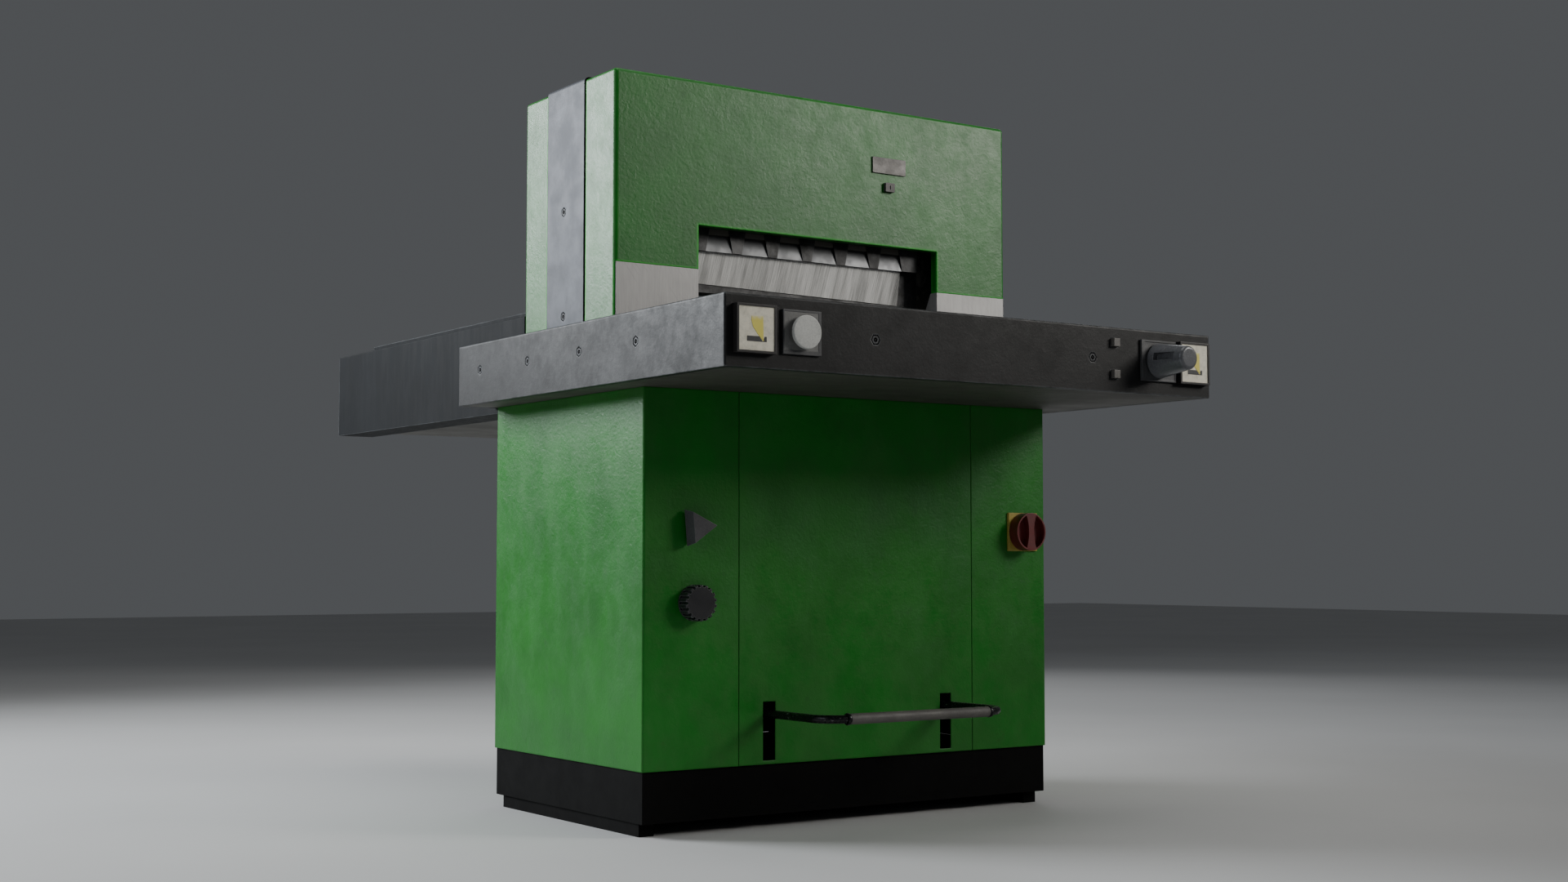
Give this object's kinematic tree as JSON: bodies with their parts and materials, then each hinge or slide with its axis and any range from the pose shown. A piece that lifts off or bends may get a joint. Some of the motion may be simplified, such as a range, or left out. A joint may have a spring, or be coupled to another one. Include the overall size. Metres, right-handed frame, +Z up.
{
  "type": "powered paper guillotine",
  "caption": "Powered paper guillotine on a cabinet, with a portal that holds the knife and clamp, a work table, a rear table with a backgauge, a pedal and hand controls.",
  "frame": {"origin": "centre of the machine's footprint on the floor", "axes": "+Z up, -Y towards the operator, +X to the operator's right"},
  "size_m": [1.079, 1.875, 1.3775],
  "materials": {
    "green_paint": "semi-gloss, lightly pebbled",
    "black_paint": "satin",
    "frame_paint": "satin",
    "table_iron": "fine textured, worn bright at the edges",
    "band_steel": "ground, streaky",
    "jamb_steel": "pale, satin",
    "plate_steel": "ground",
    "blade_steel": "bright, ground",
    "knife_iron": "dark, as cast",
    "wedge_steel": "polished",
    "clamp_iron": "painted dark",
    "rod_chrome": "polished",
    "ram_paint": "satin",
    "spring_steel": "oiled",
    "screw_steel": "blackened, rubbed bright",
    "bronze": "machined",
    "stick_plastic": "matt, cut",
    "pedal_steel": "worn dark",
    "sleeve_rubber": "matt",
    "unit_paint": "hammered",
    "rotor_steel": "laminated",
    "box_paint": "satin",
    "name_blank": "satin, blank",
    "lock_steel": "satin",
    "sign_dark": "glossy",
    "sign_cream": "satin",
    "control_plate": "satin",
    "button_grey": "worn",
    "knob_black": "glossy",
    "control_black": "satin",
    "switch_yellow": "satin",
    "switch_red": "satin"
  },
  "bodies": {
    "stand": {"side_panel_left": "green_paint", "side_panel_right": "green_paint", "front_panel": "green_paint", "rear_panel": "green_paint", "front_cover": "green_paint", "rear_cover": "green_paint", "plinth": "black_paint", "skids": "black_paint", "stand_frame": "frame_paint", "pedal_brackets": "frame_paint", "underside_pans": "frame_paint", "table": "table_iron", "yoke": "band_steel", "side_beam_left": "band_steel", "side_beam_right": "band_steel", "rail_strips": "band_steel", "jamb_plates": "jamb_steel", "rear_table": "plate_steel", "knife_guides": "knife_iron", "knife_cylinder": "ram_paint", "clamp_cylinder": "ram_paint", "foot_valve": "ram_paint", "clamp_springs": "spring_steel", "frame_screws": "screw_steel", "screw_bearings": "screw_steel", "cutting_stick": "stick_plastic", "oil_tank": "unit_paint", "pump": "unit_paint", "pump_motor": "unit_paint", "backgauge_motor": "unit_paint", "control_box": "box_paint", "name_plate": "name_blank", "head_lock": "lock_steel", "sign_frames": "sign_dark", "sign_plates": "sign_cream", "button_plates": "control_plate", "switch_plate": "switch_yellow"},
    "knife_shoe": {"knife_shoe": "rod_chrome"},
    "knife": {"knife_beam": "knife_iron", "knife_blade": "blade_steel", "knife_bolts": "screw_steel", "knife_wedges": "wedge_steel"},
    "knife_rod": {"knife_piston_rod": "rod_chrome"},
    "clamp": {"clamp_beam": "clamp_iron", "clamp_drawbars": "rod_chrome", "clamp_crosshead": "clamp_iron"},
    "backgauge": {"backgauge": "plate_steel", "screw_nut": "bronze"},
    "lead_screw": {"lead_screw": "rod_chrome"},
    "pedal": {"pedal_tube": "pedal_steel", "pedal_sleeve": "sleeve_rubber", "pedal_shaft": "pedal_steel"},
    "motor_rotor": {"motor_rotor": "rotor_steel"},
    "cut_button": {"cut_button": "button_grey"},
    "cut_knob": {"cut_knob": "knob_black"},
    "light_button_upper": {"light_button_upper": "button_grey"},
    "light_button_lower": {"light_button_lower": "button_grey"},
    "triangle_button": {"triangle_button": "control_black"},
    "pressure_knob": {"pressure_knob": "control_black"},
    "switch_knob": {"switch_knob": "switch_red"}
  },
  "joints": [
    {"name": "knife_stroke", "type": "slide", "parent": "stand", "child": "knife_shoe", "axis": [0.7082, 0, -0.706], "range_m": [0, 0.12792]},
    {"name": "knife_swing", "type": "hinge", "parent": "knife_shoe", "child": "knife", "pos_m": [0.314, -0.3185, 1.15], "axis": [0, -1, 0], "range_deg": [0, 0.953]},
    {"name": "knife_rod_push", "type": "slide", "parent": "stand", "child": "knife_rod", "axis": [1, 0, 0], "range_m": [0, 0.08782]},
    {"name": "clamp_stroke", "type": "slide", "parent": "stand", "child": "clamp", "axis": [0, 0, -1], "range_m": [0, 0.0834], "stiffness_N_per_m": 2000, "springref_m": -0.42, "deforming": ["clamp_springs"]},
    {"name": "backgauge_travel", "type": "slide", "parent": "stand", "child": "backgauge", "axis": [0, 1, 0], "range_m": [-0.195, 0.38]},
    {"name": "screw_turn", "type": "hinge", "parent": "stand", "child": "lead_screw", "pos_m": [0, 0.1285, 0.85], "axis": [0, 1, 0], "continuous": true},
    {"name": "pedal_press", "type": "hinge", "parent": "stand", "child": "pedal", "pos_m": [0.0042, -0.2265, 0.2035], "axis": [1, 0, 0], "range_deg": [0, 12], "stiffness_Nm_per_rad": 30, "springref_deg": -28.65},
    {"name": "motor_spin", "type": "hinge", "parent": "stand", "child": "motor_rotor", "pos_m": [-0.2, -0.0615, 0.4], "axis": [0, 0, 1], "continuous": true},
    {"name": "cut_button_press", "type": "slide", "parent": "stand", "child": "cut_button", "axis": [0, 1, 0], "range_m": [0, 0.006], "stiffness_N_per_m": 1500, "springref_m": -0.002},
    {"name": "cut_knob_turn", "type": "hinge", "parent": "stand", "child": "cut_knob", "pos_m": [0.403, -0.8555, 0.844], "axis": [0, 1, 0], "range_deg": [0, 45], "stiffness_Nm_per_rad": 0.5, "springref_deg": -14.32},
    {"name": "light_button_upper_press", "type": "slide", "parent": "stand", "child": "light_button_upper", "axis": [0, 1, 0], "range_m": [0, 0.003], "stiffness_N_per_m": 1200, "springref_m": -0.0015},
    {"name": "light_button_lower_press", "type": "slide", "parent": "stand", "child": "light_button_lower", "axis": [0, 1, 0], "range_m": [0, 0.003], "stiffness_N_per_m": 1200, "springref_m": -0.0015},
    {"name": "triangle_button_press", "type": "slide", "parent": "stand", "child": "triangle_button", "axis": [0, 1, 0], "range_m": [0, 0.005], "stiffness_N_per_m": 1500, "springref_m": -0.002},
    {"name": "pressure_knob_turn", "type": "hinge", "parent": "stand", "child": "pressure_knob", "pos_m": [-0.3605, -0.4765, 0.4045], "axis": [0, 1, 0], "range_deg": [0, 270]},
    {"name": "switch_turn", "type": "hinge", "parent": "stand", "child": "switch_knob", "pos_m": [0.4037, -0.4765, 0.536], "axis": [0, 1, 0], "range_deg": [0, 90]}
  ],
  "couplings": [
    {"joint": "knife_swing", "follows": "knife_stroke", "rad_per_m": 0.12975},
    {"joint": "knife_rod_push", "follows": "knife_stroke", "ratio": 0.68632},
    {"joint": "screw_turn", "follows": "backgauge_travel", "rad_per_m": -628.32}
  ]
}
